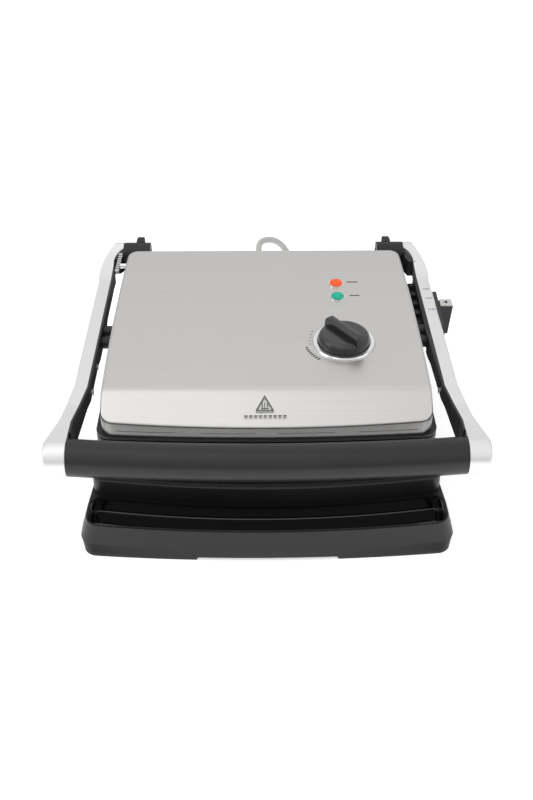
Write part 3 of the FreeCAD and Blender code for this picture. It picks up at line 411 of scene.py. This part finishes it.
# ---------------------------------------------------------------- printed marks


def on_lid(x, y):
    """The point of the lid's top or slope above x, y."""
    drop = max(0.0, LID_SLOPE_START_Y - y) * LID_SLOPE
    return Vector((x, y, LID_TOP - drop))


def printed(name, body, material, shapes):
    """Flat inked shapes, each a list of corner points, thickened upwards."""
    lift = Vector((0.0, 0.0, PRINT_THICK))
    made = bmesh.new()
    for corners in shapes:
        low = [made.verts.new(Vector(point)) for point in corners]
        high = [made.verts.new(Vector(point) + lift) for point in corners]
        made.faces.new(high)
        made.faces.new(low[::-1])
        for number, point in enumerate(low):
            after = (number + 1) % len(low)
            made.faces.new((point, low[after], high[after], high[number]))
    bmesh.ops.recalc_face_normals(made, faces=made.faces)
    mesh = bpy.data.meshes.new(name)
    made.to_mesh(mesh)
    made.free()
    mesh.materials.append(material)
    piece = bpy.data.objects.new(name, mesh)
    bpy.context.scene.collection.objects.link(piece)
    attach(piece, body)


def bar(start, end, width, place):
    """A thin straight stroke between two flat points, with slightly pointed ends."""
    start, end = Vector(start), Vector(end)
    along = (end - start).normalized()
    side = Vector((-along.y, along.x)) * width / 2
    nib = along * width / 3
    outline = [start - nib, start - side, end - side, end + nib, end + side, start + side]
    return [place(point.x, point.y) for point in outline]


def dashes(start_x, y, length, height, count, place):
    """A short row of upright strokes, unevenly spaced, in place of a word."""
    pitch = length / count
    strokes = []
    for number in range(count):
        x = start_x + pitch * (number + 0.3 + 0.12 * (number % 3))
        strokes.append(bar((x, y - height / 2), (x, y + height / 2), pitch * 0.45, place))
    return strokes


def lamp_marks():
    return [bar((x, y), (x + length, y), LAMP_BAR_WIDTH, on_lid) for x, y, length in LAMP_BARS]


def dial_marks():
    """Short ticks beside the dial, then a row of strokes that lie along its radii."""
    strokes = [bar((x, y), (x + TICK_LENGTH, y), TICK_WIDTH, on_lid) for x, y in DIAL_TICKS]
    for number in range(DIAL_ROW_COUNT):
        angle = math.radians(DIAL_ROW_START + DIAL_ROW_STEP * number)
        inner = DIAL_ROW_RADII[0] + DIAL_ROW_GROWTH[0] * number
        outer = DIAL_ROW_RADII[1] + DIAL_ROW_GROWTH[1] * number
        start = [DIAL_CENTRE[0] + inner * math.cos(angle), DIAL_CENTRE[1] + inner * math.sin(angle)]
        end = [DIAL_CENTRE[0] + outer * math.cos(angle), DIAL_CENTRE[1] + outer * math.sin(angle)]
        strokes.append(bar(start, end, DIAL_ROW_WIDTH, on_lid))
    return strokes


def dash_row():
    strokes = []
    y = DASH_ROW_START[1]
    for number in range(DASH_ROW_COUNT):
        x = DASH_ROW_START[0] + DASH_ROW_PITCH * number
        strokes.append(bar((x, y), (x + DASH_LENGTH, y), DASH_WIDTH, on_lid))
    return strokes


def triangle_marks():
    strokes = []
    for number in range(3):
        strokes.append(bar(TRIANGLE[number], TRIANGLE[(number + 1) % 3], TRIANGLE_WIDTH, on_lid))
    for x in TRIANGLE_STROKES_X:
        top, bottom = TRIANGLE_STROKES_Y
        strokes.append(bar((x, top), (x, bottom), TRIANGLE_STROKE_WIDTH, on_lid))
    left, right = TRIANGLE_BASE_X
    base = bar((left, TRIANGLE_BASE_Y), (right, TRIANGLE_BASE_Y), TRIANGLE_STROKE_WIDTH, on_lid)
    strokes.append(base)
    return strokes


def lid_print(ink):
    shapes = lamp_marks() + dial_marks() + dash_row() + triangle_marks()
    printed("lid_print", "lid", ink, shapes)


def on_arm(x, y):
    return Vector((x, y, ARM_TOP))


def arm_print(ink):
    shapes = []
    for x, y, length in ARM_BARS:
        shapes += dashes(x, y, length, ARM_BAR_HEIGHT, ARM_BAR_STROKES, on_arm)
    printed("arm_print", "arms", ink, shapes)


def clip_print(ink):
    arrow = [
        Vector((ARROW_TIP_X, ARROW_Y, CLIP_TOP)),
        Vector((ARROW_BACK_X, ARROW_Y - ARROW_HALF_WIDTH, CLIP_TOP)),
        Vector((ARROW_BACK_X, ARROW_Y + ARROW_HALF_WIDTH, CLIP_TOP)),
    ]
    printed("clip_print", "clip", ink, [arrow])


def make_prints():
    ink = moulded("grey_ink", (0.10, 0.10, 0.10), 0.6)
    faint = moulded("faint_ink", (0.30, 0.30, 0.30), 0.6)
    black = moulded("black_ink", (0.02, 0.02, 0.02), 0.6)
    lid_print(ink)
    arm_print(faint)
    clip_print(black)


# ---------------------------------------------------------------- stage and light


def make_stage():
    shader = Shader("studio_white", (0.92, 0.92, 0.92), 0.9)
    shader.surface.inputs["Emission Color"].default_value = (1.0, 1.0, 1.0, 1.0)
    shader.surface.inputs["Emission Strength"].default_value = FLOOR_GLOW
    haze = shader.noise((3.0,) * 3, 1.0)
    shader.tint(haze, (0.915, 0.915, 0.915), (0.925, 0.925, 0.925))
    bpy.ops.mesh.primitive_plane_add(size=FLOOR_SIZE, location=FLOOR_MIDDLE)
    floor = bpy.context.object
    floor.name = "floor"
    floor.data.materials.append(shader.material)


def area_light(name, place, aim, size, power):
    data = bpy.data.lights.new(name, "AREA")
    data.shape = "RECTANGLE"
    data.size, data.size_y = size
    data.energy = power
    light = bpy.data.objects.new(name, data)
    light.location = place
    light.rotation_euler = (Vector(aim) - Vector(place)).to_track_quat("-Z", "Y").to_euler()
    bpy.context.scene.collection.objects.link(light)


def make_sky():
    """White surroundings, dimmer towards the horizon."""
    world = bpy.data.worlds.new("studio")
    world.use_nodes = True
    tree = world.node_tree
    direction = tree.nodes.new("ShaderNodeTexCoord")
    split = tree.nodes.new("ShaderNodeSeparateXYZ")
    ramp = tree.nodes.new("ShaderNodeValToRGB")
    tree.links.new(direction.outputs["Generated"], split.inputs["Vector"])
    tree.links.new(split.outputs["Z"], ramp.inputs["Fac"])
    tree.links.new(ramp.outputs["Color"], tree.nodes["Background"].inputs["Color"])
    for position, level in SKY_LEVELS:
        element = ramp.color_ramp.elements.new(position)
        element.color = (level, level, level, 1.0)
    ramp.color_ramp.elements.remove(ramp.color_ramp.elements[-1])
    ramp.color_ramp.elements.remove(ramp.color_ramp.elements[0])
    tree.nodes["Background"].inputs["Strength"].default_value = SKY_STRENGTH
    bpy.context.scene.world = world


def make_light():
    make_sky()
    for name, place, aim, size, power in LIGHTS:
        area_light(name, place, aim, size, power)


def main():
    make_camera()
    lead = make_cord()
    materials = make_materials()
    paint_nodes(materials)
    paint(lead, materials["cord"])
    make_prints()
    make_stage()
    make_light()
    bpy.context.scene.view_settings.view_transform = "Standard"


main()
